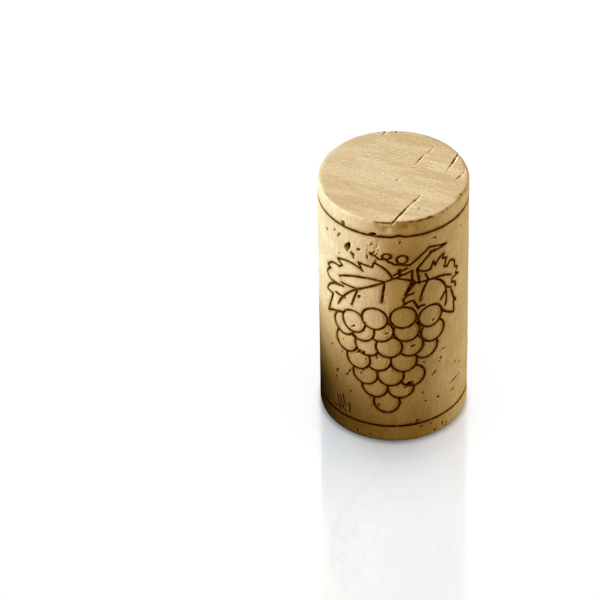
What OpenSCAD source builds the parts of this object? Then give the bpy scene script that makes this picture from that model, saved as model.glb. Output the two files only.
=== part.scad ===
// A natural wine cork: one straight cylinder of bark, cut across the bark's pores, with worn
// edges, open pores, a few dry cracks in its upper end, two burnt lines round it and a burnt
// drawing of a grape bunch between two vine leaves.
// It stands on its foot at z = 0, and the drawing faces -Y.

/* [Stopper] */
// Diameter of the stopper
cork_d = 24; // [21:0.5:30]
// Length of the stopper
cork_l = 45; // [42:0.5:54]
// Radius of the worn edge at each end
edge_r = 0.4; // [0.2:0.1:1]

/* [Burnt lines] */
// Depth that the hot brand sinks into the cork
burn_depth = 0.15; // [0.05:0.01:0.4]
// Width of the lines of the drawing
line_w = 0.3; // [0.2:0.05:0.5]
// Width of the two lines that run round the stopper
ring_w = 0.34; // [0.2:0.02:0.6]
// From the upper end down to the middle of the upper line
ring_from_top = 3; // [2:0.1:4]
// From the foot up to the middle of the lower line
ring_from_foot = 3.4; // [2:0.1:4]
// Radius of one grape
grape_r = 2.12; // [1.6:0.02:2.4]

/* [Flaws of the bark] */
// Width of the widest dry crack in the upper end
crack_w = 0.36; // [0.1:0.02:0.6]
// Depth of the cracks
crack_depth = 0.9; // [0.2:0.1:2]
// How deep a pore goes, as a share of its own width
pore_share = 0.45; // [0.2:0.05:0.5]
// How deep a chip in the rim goes, as a share of its own width
chip_share = 0.2; // [0.1:0.05:0.3]

/* [Hidden] */
$fn = 96;

cork_r = cork_d / 2;
// The drawing is centred between the two lines round the stopper.
mark_z = (ring_from_foot + cork_l - ring_from_top) / 2;
mark_half_h = 17;
// How far a cutter reaches past the surface, and where it starts inside, so that its floor
// is left to the core that fills it up again.
past = 1;
cutter_start = 0.75 * cork_r;
curve_step = 0.6;
hair = 0.01;
// A pore this many times as long as it is wide is a slit and not a bowl.
slit_from = 1.45;

cork_colour = "burlywood";
burnt_colour = "saddlebrown";

// Grapes as [across, up] from the middle of the drawing. Each one hides what it covers of
// those that come after it.
grapes = [
    [-3.05, 2.6], [-6.75, 1.0], [1.6, 3.1], [6.2, 2.4],
    [-8.6, -0.25], [-5.2, -0.25], [-2.1, 0.25], [2.15, 0.35], [6.65, -0.75],
    [-0.7, -2.9], [-4.25, -3.05], [-8.15, -3.5], [2.75, -2.75], [5.3, -3.7],
    [-5.9, -6.2], [-2.5, -5.8], [1.7, -5.85],
    [-0.45, -8.7], [-4.7, -9.0], [3.05, -8.95],
    [-3.05, -11.3], [1.2, -11.25],
    [-1.1, -14.3],
];

// Each stroke is a list of [across, up, bow]. The bow is how far the line on to the next
// point swells out to the left of its way, and 0 is straight.
left_leaf = [
    [[-0.15, 11.1, -0.55], [-3.1, 13.85], [-3.4, 12.95], [-5.75, 13.3], [-5.0, 11.8, -0.8],
     [-9.9, 12.05], [-8.9, 11.35], [-9.6, 10.7, -0.6], [-12.5, 9.25], [-11.7, 9.15, -0.15],
     [-12.8, 7.8, -0.25], [-11.7, 6.85], [-8.75, 7.15]],
    [[-9.6, 6.9, -0.65], [-12.8, 4.25], [-11.1, 4.35], [-12.5, 0.15, 0.22], [-8.7, 1.75]],
    [[-0.15, 10.95], [-5.9, 7.85, -0.45], [-9.9, 3.0]],
    [[-1.35, 10.35, -0.85], [-9.55, 8.8]],
    [[-1.35, 10.35], [-1.85, 6.15]],
    [[-5.9, 7.85], [-9.1, 7.75]],
    [[-5.9, 7.85], [-7.05, 4.25]],
    [[-8.4, 5.0], [-10.5, 5.0]],
];
right_leaf = [
    [[3.8, 12.6, -0.4], [6.1, 11.8], [6.6, 13.25], [7.0, 12.25, 0.3], [8.6, 13.85],
     [8.4, 13.0], [9.25, 12.65], [8.75, 11.15], [9.4, 10.85], [10.0, 11.65, 0.2],
     [11.25, 10.75], [11.25, 9.75], [12.1, 9.15], [11.5, 8.25], [12.4, 7.65], [10.75, 7.75],
     [10.5, 7.0], [11.4, 6.55], [11.6, 5.55]],
    [[10.4, 5.55], [11.05, 3.75], [11.15, 0.65, 0.2], [8.3, 2.65]],
    [[11.05, 3.75], [11.7, 2.65]],
    [[3.2, 7.8], [2.1, 7.5], [1.55, 6.75], [1.8, 5.85], [1.35, 5.3]],
    [[1.8, 5.85], [2.7, 6.3], [3.25, 6.3], [4.05, 4.5], [4.45, 4.95], [5.05, 4.95]],
    [[3.5, 9.8], [5.8, 9.75, 0.4], [10.35, 8.6]],
    [[5.8, 9.75], [5.2, 11.2]],
    [[5.55, 9.6, -0.2], [4.35, 6.0]],
    [[6.2, 9.75, 0.5], [9.0, 7.2, 0.25], [9.1, 3.25]],
    [[9.1, 6.9], [10.35, 6.0]],
    [[8.95, 6.0], [8.15, 4.8]],
];
cane = [
    [[2.6, 13.55], [5.85, 16.35], [9.2, 15.55], [6.3, 15.2, -0.15], [3.8, 12.5], [4.2, 9.6]],
    [[-0.15, 10.95], [3.0, 12.4], [3.0, 10.6], [3.6, 9.85]],
    [[0.6, 11.1, 0.1], [3.1, 10.25]],
    [[0.1, 11.75], [2.1, 13.0]],
    [[-3.65, 15.5, 0.12], [-2.3, 14.75], [-1.2, 14.9], [-0.75, 14.35, 0.1], [0.1, 13.9],
     [2.6, 13.55]],
];
// The dark fold where the right leaf turns over beside its stalk
leaf_fold = [[3.05, 10.45], [3.7, 9.85], [2.2, 7.8], [1.75, 7.75]];
// The tendril's two curls, as [across, up, radius]
curls = [[-1.08, 15.42, 0.61], [1.38, 14.78, 0.83]];

// Pores as [across, up, width, height]. Those near an end are measured from it.
function from_top(d) = cork_l - d;
function from_mark(d) = mark_z + d;
pores = [
    [-8.7, from_top(2.3), 0.8, 0.8], [-3.2, from_top(2.2), 0.9, 0.5],
    [-9.7, from_top(5.2), 0.6, 1.0], [-7.7, from_top(6.5), 0.9, 1.5],
    [-5.9, from_top(6.4), 0.8, 0.8], [-3.1, from_top(5.6), 0.8, 2.2],
    [-6.8, from_top(7.8), 0.8, 1.0], [1.0, from_top(4.2), 0.5, 0.8],
    [-12.9, from_top(6), 0.8, 0.6], [6.9, from_top(4.4), 0.7, 0.4],
    [-5.7, from_mark(6.3), 0.6, 0.8], [-6.9, from_mark(0), 0.7, 0.5],
    [-0.9, from_mark(0), 0.7, 0.4], [3.0, from_mark(-2.8), 0.7, 0.4],
    [-4.9, from_mark(-4.6), 0.7, 0.4], [8.6, from_mark(-5.6), 0.9, 0.4],
    [4.9, from_mark(-6.8), 0.8, 0.4], [-7.9, from_mark(-10.3), 0.5, 0.8],
    [-10.4, from_mark(-12.3), 0.5, 0.7], [6.9, from_mark(-9.8), 0.8, 0.5],
    [2.6, from_mark(-10.6), 0.7, 0.6], [11.2, 9.1, 2.0, 0.4],
    [3.7, 4.3, 0.9, 0.7], [-6.2, 1.4, 0.6, 0.6], [-9, 5.3, 1.2, 0.5],
    [20, 30, 1.0, 0.7], [24, 12, 0.6, 1.4], [29, 36, 0.8, 0.8], [32, 21, 1.3, 0.6],
    [37, 9, 0.8, 0.8], [41, 31, 0.6, 1.2], [48, 17, 0.9, 0.6], [53, 37, 0.9, 0.9],
    [57, 26, 0.7, 0.7],
];

// Dry cracks in the upper end, as [x, y, share of the width] along each one
cracks = [
    [[4.2, -4.9, 0], [2.7, -7.2, 0.8], [1.3, -9.6, 0.9], [-0.6, -12.6, 1]],
    [[3.4, 2.9, 0], [4.2, 4.5, 0.7], [5.0, 5.9, 0.5], [6.8, 7.7, 0]],
    [[8.2, 0.9, 0], [9.1, 3.1, 0.7], [10.0, 5.2, 0]],
    [[9.7, -1.1, 0], [10.4, 0, 0.6], [11.1, 1.0, 0]],
];
// Where the rim has crumbled away, as [across, below the upper end, width]
chips = [[1.7, 1.1, 1.7], [-2.6, 0.3, 0.9], [-7.2, 0.2, 0.8], [8.4, 0.2, 0.9], [36, 0.3, 1.2]];

// Turn, in degrees, that carries the front of the stopper round to a place across it.
function turn(across) = across / cork_r * 180 / PI;

// The points of the arc from a to b, without b, by its chord and its bow.
function arc_points(a, b) =
    let (bow = is_undef(a[2]) ? 0 : a[2], chord = norm([b[0] - a[0], b[1] - a[1]]))
    bow == 0 ? [[a[0], a[1]]] :
    let (
        along = [b[0] - a[0], b[1] - a[1]] / chord,
        left = [-along[1], along[0]],
        radius = (chord * chord / 4 + bow * bow) / (2 * abs(bow)),
        half = 2 * atan(2 * abs(bow) / chord),
        steps = max(2, ceil(chord / curve_step))
    )
    [for (i = [0:steps - 1])
        let (angle = half * (2 * i / steps - 1))
        [a[0], a[1]] + along * (chord / 2 + radius * sin(angle))
            + left * sign(bow) * (radius * cos(angle) - radius + abs(bow))];

function path_points(stroke) = concat(
    [for (i = [0:len(stroke) - 2]) each arc_points(stroke[i], stroke[i + 1])],
    [[stroke[len(stroke) - 1][0], stroke[len(stroke) - 1][1]]]
);

// A place on the drawing as it is seen from straight over middle.
function seen(p, middle) = [cork_r * sin(turn(p[0] - middle)), p[1]];

module hair_line(a, b) {
    along = b - a;
    translate(a) rotate(atan2(along[1], along[0])) translate([0, -hair / 2])
        square([norm(along), hair]);
}

// Lines of even width with round ends along the strokes.
module pen(strokes, middle) {
    offset(r = (line_w - hair) / 2, $fn = 8)
        for (stroke = strokes) {
            path = [for (p = path_points(stroke)) seen(p, middle)];
            for (i = [0:len(path) - 2]) hair_line(path[i], path[i + 1]);
        }
}

// Carries a flat outline through the side of the stopper, over its place across it.
module through_side(across) {
    rotate([0, 0, turn(across)]) translate([0, -cutter_start, mark_z]) rotate([90, 0, 0])
        linear_extrude(cork_r + past - cutter_start) children();
}

module circle_line(radius) {
    difference() {
        circle(radius + line_w / 2);
        circle(radius - line_w / 2);
    }
}

module grape(i) {
    difference() {
        translate([0, grapes[i][1]]) circle_line(grape_r);
        for (k = [0:1:i - 1])
            if (norm(grapes[k] - grapes[i]) < 2 * grape_r)
                translate(seen(grapes[k], grapes[i][0])) circle(grape_r);
    }
}

module curl(c) {
    translate([0, c[1]]) circle_line(c[2]);
}

module drawing() {
    left_middle = -6.4;
    right_middle = 7;
    cane_middle = 2.7;
    for (i = [0:len(grapes) - 1]) through_side(grapes[i][0]) grape(i);
    for (c = curls) through_side(c[0]) curl(c);
    through_side(left_middle) pen(left_leaf, left_middle);
    through_side(right_middle) pen(right_leaf, right_middle);
    through_side(cane_middle) pen(cane, cane_middle);
    through_side(leaf_fold[0][0]) polygon([for (p = leaf_fold) seen(p, leaf_fold[0][0])]);
}

// The blank, turned from its outline with a worn edge at each end.
module blank() {
    rotate_extrude() {
        square([cork_r - edge_r, cork_l]);
        translate([0, edge_r]) square([cork_r, cork_l - 2 * edge_r]);
        for (z = [edge_r, cork_l - edge_r]) translate([cork_r - edge_r, z]) circle(edge_r);
    }
}

module ring_groove(z) {
    translate([0, 0, z]) rotate_extrude() translate([cork_r - burn_depth, -ring_w / 2])
        square([burn_depth + past, ring_w]);
}

// Radius of the arc that is this wide where it is this deep
function arc_radius(width, depth) = (width * width / 4 + depth * depth) / (2 * depth);

// A shallow bowl, sunk into the surface that lies at y = 0 with the stopper behind it.
module bowl(width, depth) {
    radius = arc_radius(width, depth);
    translate([0, depth - radius, 0]) sphere(radius, $fn = 32);
}

// A slit as a thin round saw leaves it, pointed at both ends.
module slit(width, height, depth) {
    radius = arc_radius(width, depth);
    translate([0, depth - radius, 0]) cylinder(r = radius, h = height, center = true);
}

module pore(p) {
    long = max(p[2], p[3]);
    short = min(p[2], p[3]);
    rotate([0, 0, turn(p[0])]) translate([0, -cork_r, p[1]])
        if (long < slit_from * short)
            bowl(short, short * pore_share);
        else
            rotate([0, p[3] > p[2] ? 90 : 0, 0]) slit(long, short, short * pore_share);
}

module chip(c) {
    rotate([0, 0, turn(c[0])]) translate([0, -cork_r, cork_l - c[1]])
        bowl(c[2], c[2] * chip_share);
}

module crack(points) {
    last = len(points) - 1;
    way = [points[last][0] - points[0][0], points[last][1] - points[0][1]];
    side = [-way[1], way[0]] / norm(way) * crack_w / 2;
    left = [for (p = points) [p[0], p[1]] + side * p[2]];
    right = [for (i = [last:-1:0]) [points[i][0], points[i][1]] - side * points[i][2]];
    translate([0, 0, cork_l - crack_depth]) linear_extrude(crack_depth + past)
        polygon(concat(left, right));
}

module cork() {
    color(cork_colour) difference() {
        union() {
            difference() {
                blank();
                color(burnt_colour) drawing();
            }
            color(burnt_colour) translate([0, 0, mark_z - mark_half_h])
                cylinder(r = cork_r - burn_depth, h = 2 * mark_half_h);
        }
        color(burnt_colour) for (z = [ring_from_foot, cork_l - ring_from_top]) ring_groove(z);
        for (p = pores) pore(p);
        for (c = cracks) crack(c);
        for (c = chips) chip(c);
    }
}

cork();
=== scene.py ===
"""A natural wine cork that stands on its foot: the bark, its pores and dry cracks, and the
burnt rings and grape drawing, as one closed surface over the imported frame.

Shapes are worked out in millimetres and written to the meshes in metres. On the side, a place
is (across, up): the way round from the middle of the front, to the right, and the height.
"""
import math

import bpy
import numpy as np
from mathutils import Matrix, Vector


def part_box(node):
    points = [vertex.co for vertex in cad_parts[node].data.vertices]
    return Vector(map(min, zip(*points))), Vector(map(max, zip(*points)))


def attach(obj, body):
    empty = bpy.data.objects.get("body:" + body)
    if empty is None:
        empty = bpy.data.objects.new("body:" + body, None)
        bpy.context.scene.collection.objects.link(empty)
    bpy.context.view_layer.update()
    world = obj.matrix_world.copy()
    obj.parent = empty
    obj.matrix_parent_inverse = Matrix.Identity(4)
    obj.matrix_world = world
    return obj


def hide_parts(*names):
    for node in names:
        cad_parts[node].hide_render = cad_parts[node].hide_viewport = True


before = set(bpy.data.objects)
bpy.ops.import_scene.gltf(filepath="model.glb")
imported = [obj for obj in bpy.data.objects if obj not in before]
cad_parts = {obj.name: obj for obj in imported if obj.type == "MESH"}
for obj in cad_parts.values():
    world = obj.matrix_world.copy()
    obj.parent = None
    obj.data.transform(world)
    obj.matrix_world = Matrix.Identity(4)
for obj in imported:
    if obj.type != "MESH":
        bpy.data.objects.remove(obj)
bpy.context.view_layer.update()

MM = 0.001

# ---------------------------------------------------------------- sizes, in millimetres
low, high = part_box("cork")
CORK_R = (high.x - low.x) / 2 / MM
CORK_L = (high.z - low.z) / MM
GIRTH = 2 * math.pi * CORK_R
EDGE_R = 0.4             # the worn edge at each end
RING_FROM_TOP = 3.0
RING_FROM_FOOT = 3.4
RING_W = 0.32
RING_LEAN = 0.12         # how far the lower ring rises to the right
RING_KINK = (0.8, 0.7, 0.28)     # across, half width and rise of the upper ring's kink
LINE_W = 0.3             # width of a burnt stroke
BURN_DEPTH = 0.13
GRAPE_R = 2.12
MARK_Z = (RING_FROM_FOOT + CORK_L - RING_FROM_TOP) / 2      # middle of the drawing
BLOT_R = 0.27            # half the height of a blot, which is wider than it is high
BLOT_STRETCH = 1.5
CURVE_STEP = 0.35        # longest straight piece of a bowed stroke
SKIN = 0.05              # the smooth bark lies this far inside the frame's box, for its lips
FAR = 99.0               # farther than any two places on the cork lie apart

# ---------------------------------------------------------------- the burnt drawing
# The middles of the grapes as (across, up) from the middle of the drawing. Each one hides
# what it covers of those that come after it.
GRAPES = [
    (-3.05, 2.6), (-6.75, 1.0), (1.6, 3.1), (6.2, 2.4),
    (-8.6, -0.25), (-5.2, -0.25), (-2.1, 0.25), (2.15, 0.35), (6.65, -0.75),
    (-0.7, -2.9), (-4.25, -3.05), (-8.15, -3.5), (2.75, -2.75), (5.3, -3.7),
    (-5.9, -6.2), (-2.5, -5.8), (1.7, -5.85),
    (-0.45, -8.7), (-4.7, -9.0), (3.05, -8.95),
    (-3.05, -11.3), (1.2, -11.25),
    (-1.1, -14.3),
]

# Each stroke is a list of (across, up, bow) from the middle of the drawing. The bow is how far
# the line on to the next point swells out to the left of its way. Without one it is straight.
LEFT_LEAF = [
    [(-0.15, 11.1, -0.55), (-3.1, 13.85), (-3.4, 12.95), (-5.75, 13.3), (-5.0, 11.8, -0.8),
     (-9.9, 12.05), (-8.9, 11.35), (-9.6, 10.7, -0.6), (-12.5, 9.25), (-11.7, 9.15, -0.15),
     (-12.8, 7.8, -0.25), (-11.7, 6.85), (-8.75, 7.15)],
    [(-9.6, 6.9, -0.65), (-12.8, 4.25), (-11.1, 4.35), (-12.5, 0.15, 0.22), (-8.7, 1.75)],
    [(-0.15, 10.95), (-5.9, 7.85, -0.45), (-9.9, 3.0)],
    [(-1.35, 10.35, -0.85), (-9.55, 8.8)],
    [(-1.35, 10.35), (-1.85, 6.15)],
    [(-5.9, 7.85), (-9.1, 7.75)],
    [(-5.9, 7.85), (-7.05, 4.25)],
    [(-8.4, 5.0), (-10.5, 5.0)],
]
RIGHT_LEAF = [
    [(3.8, 12.6, -0.4), (6.1, 11.8), (6.6, 13.25), (7.0, 12.25, 0.3), (8.6, 13.85),
     (8.4, 13.0), (9.25, 12.65), (8.75, 11.15), (9.4, 10.85), (10.0, 11.65, 0.2),
     (11.25, 10.75), (11.25, 9.75), (12.1, 9.15), (11.5, 8.25), (12.4, 7.65), (10.75, 7.75),
     (10.5, 7.0), (11.4, 6.55), (11.6, 5.55)],
    [(10.4, 5.55), (11.05, 3.75), (11.15, 0.65, 0.2), (8.3, 2.65)],
    [(11.05, 3.75), (11.7, 2.65)],
    [(3.2, 7.8), (2.1, 7.5), (1.55, 6.75), (1.8, 5.85), (1.35, 5.3)],
    [(1.8, 5.85), (2.7, 6.3), (3.25, 6.3), (4.05, 4.5), (4.45, 4.95), (5.05, 4.95)],
    [(3.5, 9.8), (5.8, 9.75, 0.4), (10.35, 8.6)],
    [(5.8, 9.75), (5.2, 11.2)],
    [(5.55, 9.6, -0.2), (4.35, 6.0)],
    [(6.2, 9.75, 0.5), (9.0, 7.2, 0.25), (9.1, 3.25)],
    [(9.1, 6.9), (10.35, 6.0)],
    [(8.95, 6.0), (8.15, 4.8)],
]
CANE = [
    [(2.6, 13.55), (5.85, 16.35), (9.2, 15.55), (6.3, 15.2, -0.15), (3.8, 12.5), (4.2, 9.6)],
    [(-0.15, 10.95), (3.0, 12.4), (3.0, 10.6), (3.6, 9.85)],
    [(0.6, 11.1, 0.1), (3.1, 10.25)],
    [(0.1, 11.75), (2.1, 13.0)],
    [(-3.65, 15.5, 0.12), (-2.3, 14.75), (-1.2, 14.9), (-0.75, 14.35, 0.1), (0.1, 13.9),
     (2.6, 13.55)],
]
# The dark fold where the right leaf turns over beside its stalk, as a few close strokes
LEAF_FOLD = [
    [(3.05, 10.45), (1.85, 7.75)],
    [(3.3, 10.2), (2.0, 8.0)],
    [(3.6, 9.95), (2.1, 8.0)],
]
# The tendril's two curls, as (across, up, half width, half height)
CURLS = [(-1.08, 15.42, 0.7, 0.52), (1.38, 14.78, 0.86, 0.8)]

# ---------------------------------------------------------------- flaws of the bark
# Pores of the front as (across, height, length, width, depth, tilt). The tilt is the way that a
# pore runs into the bark, in degrees from rightward towards upward. That end of it is deep, and
# the other one fades out.
FRONT_PORES = [
    (-8.7, 42.4, 1.2, 0.7, 0.4, 70), (-3.3, 42.25, 1.3, 0.65, 0.75, 15),
    (-12.95, 38.8, 0.9, 0.6, 0.1, 45), (-10.75, 40.05, 0.8, 0.4, 0.15, 45),
    (-9.55, 39.9, 0.55, 0.5, 0.25, 60), (-9.85, 39.35, 0.7, 0.4, 0.2, 70),
    (-7.8, 38.25, 1.9, 0.85, 0.6, 68), (-5.8, 38.55, 1.0, 0.5, 0.3, 20),
    (-6.95, 37.3, 0.95, 0.65, 0.45, -30), (-6.7, 36.8, 1.2, 0.45, 0.3, 95),
    (1, 40.9, 0.75, 0.3, 0.3, 80), (6.85, 40.5, 0.5, 0.35, 0.25, -20),
    (6.35, 40.6, 0.8, 0.2, 0.1, -8), (12.85, 39.5, 0.5, 0.3, 0.12, 60),
    (-5.75, 29, 0.9, 0.5, 0.3, 60), (-6.85, 22.6, 1.2, 0.3, 0.35, 42),
    (-4.7, 24.15, 0.75, 0.3, 0.25, 15), (-1.05, 22.6, 0.85, 0.35, 0.3, 22),
    (6.65, 24.1, 0.55, 0.4, 0.35, 20), (6.6, 23.7, 0.7, 0.2, 0.12, 95),
    (3.05, 19.75, 0.85, 0.45, 0.35, 20), (5.05, 19.4, 0.5, 0.3, 0.2, -35),
    (7.55, 19.1, 0.65, 0.5, 0.25, 20), (-8.85, 19, 0.6, 0.25, 0.12, 75),
    (-4.9, 18, 0.75, 0.65, 0.35, 30), (-5.35, 18.2, 0.8, 0.3, 0.25, 10),
    (-5.95, 17.65, 0.9, 0.4, 0.3, 35), (-2.65, 17.5, 0.95, 0.35, 0.25, 100),
    (-4.5, 16.7, 0.4, 0.3, 0.2, 80), (-4.45, 16.1, 1.1, 0.2, 0.08, 92),
    (8.6, 17.1, 1.0, 0.25, 0.2, 6), (8.15, 15.5, 0.65, 0.4, 0.2, -20),
    (7.85, 14.8, 0.7, 0.3, 0.08, 70), (4.85, 15.95, 0.8, 0.25, 0.25, -12),
    (-11.55, 16.45, 0.75, 0.3, 0.25, 50), (-9.15, 16.25, 0.65, 0.3, 0.12, 45),
    (-0.05, 15.35, 0.7, 0.35, 0.35, 120), (-5, 14.2, 0.5, 0.35, 0.25, 40),
    (-5.35, 13.5, 0.6, 0.35, 0.3, 100), (-7.65, 12.9, 1.3, 0.35, 0.15, 65),
    (-8.15, 12.1, 0.85, 0.4, 0.3, 55), (-10.3, 11.75, 1.0, 0.45, 0.3, 62),
    (-10.65, 10.25, 0.75, 0.35, 0.35, 65), (6.85, 12.95, 1.2, 0.4, 0.5, 42),
    (2.65, 12.15, 1.15, 0.8, 1.0, 20), (1.95, 11.55, 1.1, 0.55, 0.15, 40),
    (-7.45, 8.95, 0.75, 0.35, 0.25, 15), (4.8, 9.6, 0.55, 0.3, 0.3, 70),
    (5.3, 7.75, 0.55, 0.3, 0.25, -20), (7.65, 7.65, 0.6, 0.45, 0.2, -45),
    (11.15, 9, 2.5, 0.32, 0.4, 8), (10.85, 7.2, 1.6, 0.3, 0.15, 4),
    (12.85, 11.7, 0.9, 0.3, 0.12, 10), (12.75, 9.2, 0.6, 0.4, 0.1, 20),
    (3.8, 3.95, 0.9, 0.5, 0.3, 70), (4.35, 4.05, 0.6, 0.3, 0.12, -30),
    (4.45, 2.65, 0.9, 0.25, 0.2, -3), (-6.2, 1.25, 0.75, 0.45, 0.35, 60),
    (-3.85, 1.1, 0.6, 0.42, 0.3, 65), (9.5, 1.2, 0.6, 0.4, 0.15, 100),
    (-9.65, 36, 0.5, 0.3, 0.15, 60), (-2.45, 7.65, 0.8, 0.5, 0.18, 60),
    (-3.65, 7.2, 0.9, 0.25, 0.08, 115), (-3.95, 8.75, 0.45, 0.35, 0.15, 90),
    (-4.25, 37.5, 0.9, 0.3, 0.2, 95), (-2.85, 36.95, 0.6, 0.35, 0.3, 110),
    (-3.25, 38.5, 0.5, 0.3, 0.15, 60), (-2.7, 38.4, 0.6, 0.3, 0.12, 70),
    (7.0, 0.9, 0.7, 0.45, 0.3, 30), (8.6, 1.4, 0.9, 0.35, 0.2, 75),
    (6.3, 2.6, 0.6, 0.3, 0.15, 80), (9.3, 0.6, 0.6, 0.4, 0.25, 10),
    (11.6, 12.6, 0.8, 0.3, 0.25, 30),
]
# The largest pores of the back, written in the same way
BACK_PORES = [
    (20, 30, 1.0, 0.7, 0.32, 0), (24, 12, 1.4, 0.6, 0.27, 90), (29, 36, 0.8, 0.8, 0.36, 0),
    (32, 21, 1.3, 0.6, 0.27, 0), (37, 9, 0.8, 0.8, 0.36, 0), (41, 31, 1.2, 0.6, 0.27, 90),
    (48, 17, 0.9, 0.6, 0.27, 0), (53, 37, 0.9, 0.9, 0.4, 0), (57, 26, 0.7, 0.7, 0.32, 0),
]
FRONT_ENDS = 17.6        # how far round from the front's middle the strewn pores begin
FAR_PORES = 100          # smaller pores strewn over the sides and the back
CHANNEL_X, CHANNEL_Y = 0.53, 0.85        # the way that all these pores run through the bark

# The crumbly strip beside the tendril, as (across, height, half width, half height)
CRUMBLY = (-3.2, 38.4, 1.45, 3.1)
# Scratches near the foot, as the places (across, height) along each
SCRATCHES = [
    [(-10.3, 6.6), (-10.05, 5.6), (-9.55, 4.65)], [(-9.65, 6.9), (-9.45, 6.1), (-8.95, 5.0)],
    [(-9.0, 7.3), (-8.85, 6.4), (-8.4, 5.35)], [(-7.75, 6.2), (-7.6, 5.3), (-7.6, 4.5)],
    [(-11.4, 4.7), (-10.6, 4.15)], [(-10.3, 4.7), (-9.5, 4.1)], [(-9.2, 4.7), (-8.5, 4.25)],
]
# Blots, as the places (across, height) where the burning pen dwelt
BLOTS = [(6.25, 38.0), (6.75, 38.0), (8.6, 38.3), (1.1, 35.3), (1.2, 34.45), (-6.6, 20.8)]
# Dry cracks in the upper end, as the places (x, y, opening) along each
CRACKS = [
    [(4.25, -4.85, 0.04), (3.5, -6.1, 0.1), (3.0, -6.6, 0.08), (2.2, -7.9, 0.09),
     (1.3, -9.3, 0.11), (0.4, -10.9, 0.11), (-0.5, -12.3, 0.13)],
    [(3.3, 2.8, 0.04), (4.3, 4.6, 0.06), (4.9, 5.6, 0.04)],
    [(5.0, 5.9, 0.03), (5.6, 6.2, 0.04), (6.0, 6.9, 0.06), (6.5, 7.6, 0.03)],
    [(8.1, 0.7, 0.03), (8.8, 2.4, 0.06), (9.4, 3.7, 0.1), (10.0, 5.3, 0.08), (11.0, 7.2, 0.07)],
    [(9.6, -1.2, 0.04), (10.4, 0.0, 0.075), (11.2, 1.2, 0.06)],
    [(0.2, -1.6, 0.03), (0.8, -0.7, 0.07), (1.4, 0.1, 0.03)],
    [(3.6, -9.4, 0.02), (4.1, -8.6, 0.03), (4.4, -8.0, 0.02)],
    [(-1.8, 10.5, 0.03), (-1.5, 11.1, 0.08), (-1.1, 12.0, 0.08)],
]
# Open places in the cut of the upper end, as (x, y, width, depth)
TOP_PITS = [
    (0.5, 11.5, 0.5, 0.2), (10.6, -4.6, 0.9, 0.18), (11.3, -3.6, 0.5, 0.16),
    (8.4, -8.2, 0.5, 0.16), (3.9, 1.5, 0.25, 0.1), (-4.2, -7.6, 0.35, 0.08),
    (-1.3, -6.3, 0.25, 0.08), (5.6, 3.4, 0.3, 0.1), (6.2, -4.3, 0.2, 0.08),
    (6.9, -4.9, 0.25, 0.08), (2.7, -2.7, 0.2, 0.06), (-8.6, -8.0, 0.3, 0.12),
]
# Soft brown stains in the upper end, as (x, y, radius, strength)
STAINS = [(4.0, -8.4, 0.55, 0.2), (10.2, -5.6, 0.9, 0.2), (9.3, -3.6, 0.7, 0.1)]
# Soft dents under the upper rim, darkened with painted shade by their depth, as (turn, way down,
# half width in turn, half height, depth)
RIM_DENTS = [
    (9, 1.2, 4.5, 0.9, 0.3), (-6, 1.8, 3.5, 0.8, 0.28), (28, 0.9, 12, 0.8, 0.12),
    (-11, 0.9, 3, 0.6, 0.1),
]
# Where the front rim has crumbled, as turns round from the front in degrees
RIM_FROM = -62.0
RIM_TO = 74.0
RIM_R = 0.32             # radius of the worn upper rim
RIM_FRONT_R = 0.3        # how much that grows where the rim has crumbled
BREAK_DOWN = 0.5         # how far down the side the middle of the front is broken off
BREAK_STEEP = 1.4        # how much the break's slope falls for 1 mm outwards


# ---------------------------------------------------------------- small helpers
def ease(low_end, high_end, x):
    """0 below low_end and 1 above high_end, on the curve t * t * (3 - 2 t) between them."""
    t = np.clip((x - low_end) / (high_end - low_end), 0.0, 1.0)
    return t * t * (3 - 2 * t)


def bell(x, middle, width):
    """1 at the middle, falling off on both sides as exp(-t * t), where t is 1 a width away."""
    return np.exp(-((x - middle) / width) ** 2)


def lumps(points, size, seed):
    """Smooth random values from -1 to 1. Space is cut into cubes of that size, each corner has
    a value of its own, the last digits of a large sine, and a point takes the eased mean of
    its cube's eight corners."""
    place = points / size
    cell = np.floor(place)
    part = place - cell
    part = part * part * (3 - 2 * part)
    total = np.zeros(len(points))
    for corner in np.ndindex(2, 2, 2):
        c = cell + corner
        mixed = np.sin(c @ np.array([127.1, 311.7, 74.7]) + seed * 19.19) * 43758.5453
        value = 2 * (mixed - np.floor(mixed)) - 1
        weight = np.prod(np.where(corner, part, 1 - part), axis=1)
        total += value * weight
    return total


def arc_points(a, b, bow):
    """Points of the circular arc from a to b, without b, that swells out by bow. Its radius is
    (a quarter of the chord's square + the bow's square) / twice the bow, and the points are
    spaced evenly in angle."""
    a, b = np.array(a), np.array(b)
    chord = np.hypot(*(b - a))
    if bow == 0:
        return a[None]
    along = (b - a) / chord
    left = np.array([-along[1], along[0]])
    radius = (chord * chord / 4 + bow * bow) / (2 * abs(bow))
    half = 2 * math.atan(2 * abs(bow) / chord)
    count = max(2, math.ceil(chord / CURVE_STEP))
    angle = (half * (2 * np.arange(count) / count - 1))[:, None]
    rise = np.sign(bow) * (radius * np.cos(angle) - radius + abs(bow))
    return a + along * (chord / 2 + radius * np.sin(angle)) + left * rise


def pieces_of(strokes):
    """The straight pieces (start, end) of all strokes, with their arcs followed."""
    found = []
    for stroke in strokes:
        bows = [p[2] if len(p) > 2 else 0 for p in stroke]
        ends = [p[:2] for p in stroke]
        path = [arc_points(ends[i], ends[i + 1], bows[i]) for i in range(len(ends) - 1)]
        path = np.vstack(path + [np.array(ends[-1:])])
        found.append(np.hstack([path[:-1], path[1:]]))
    return np.vstack(found)


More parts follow.
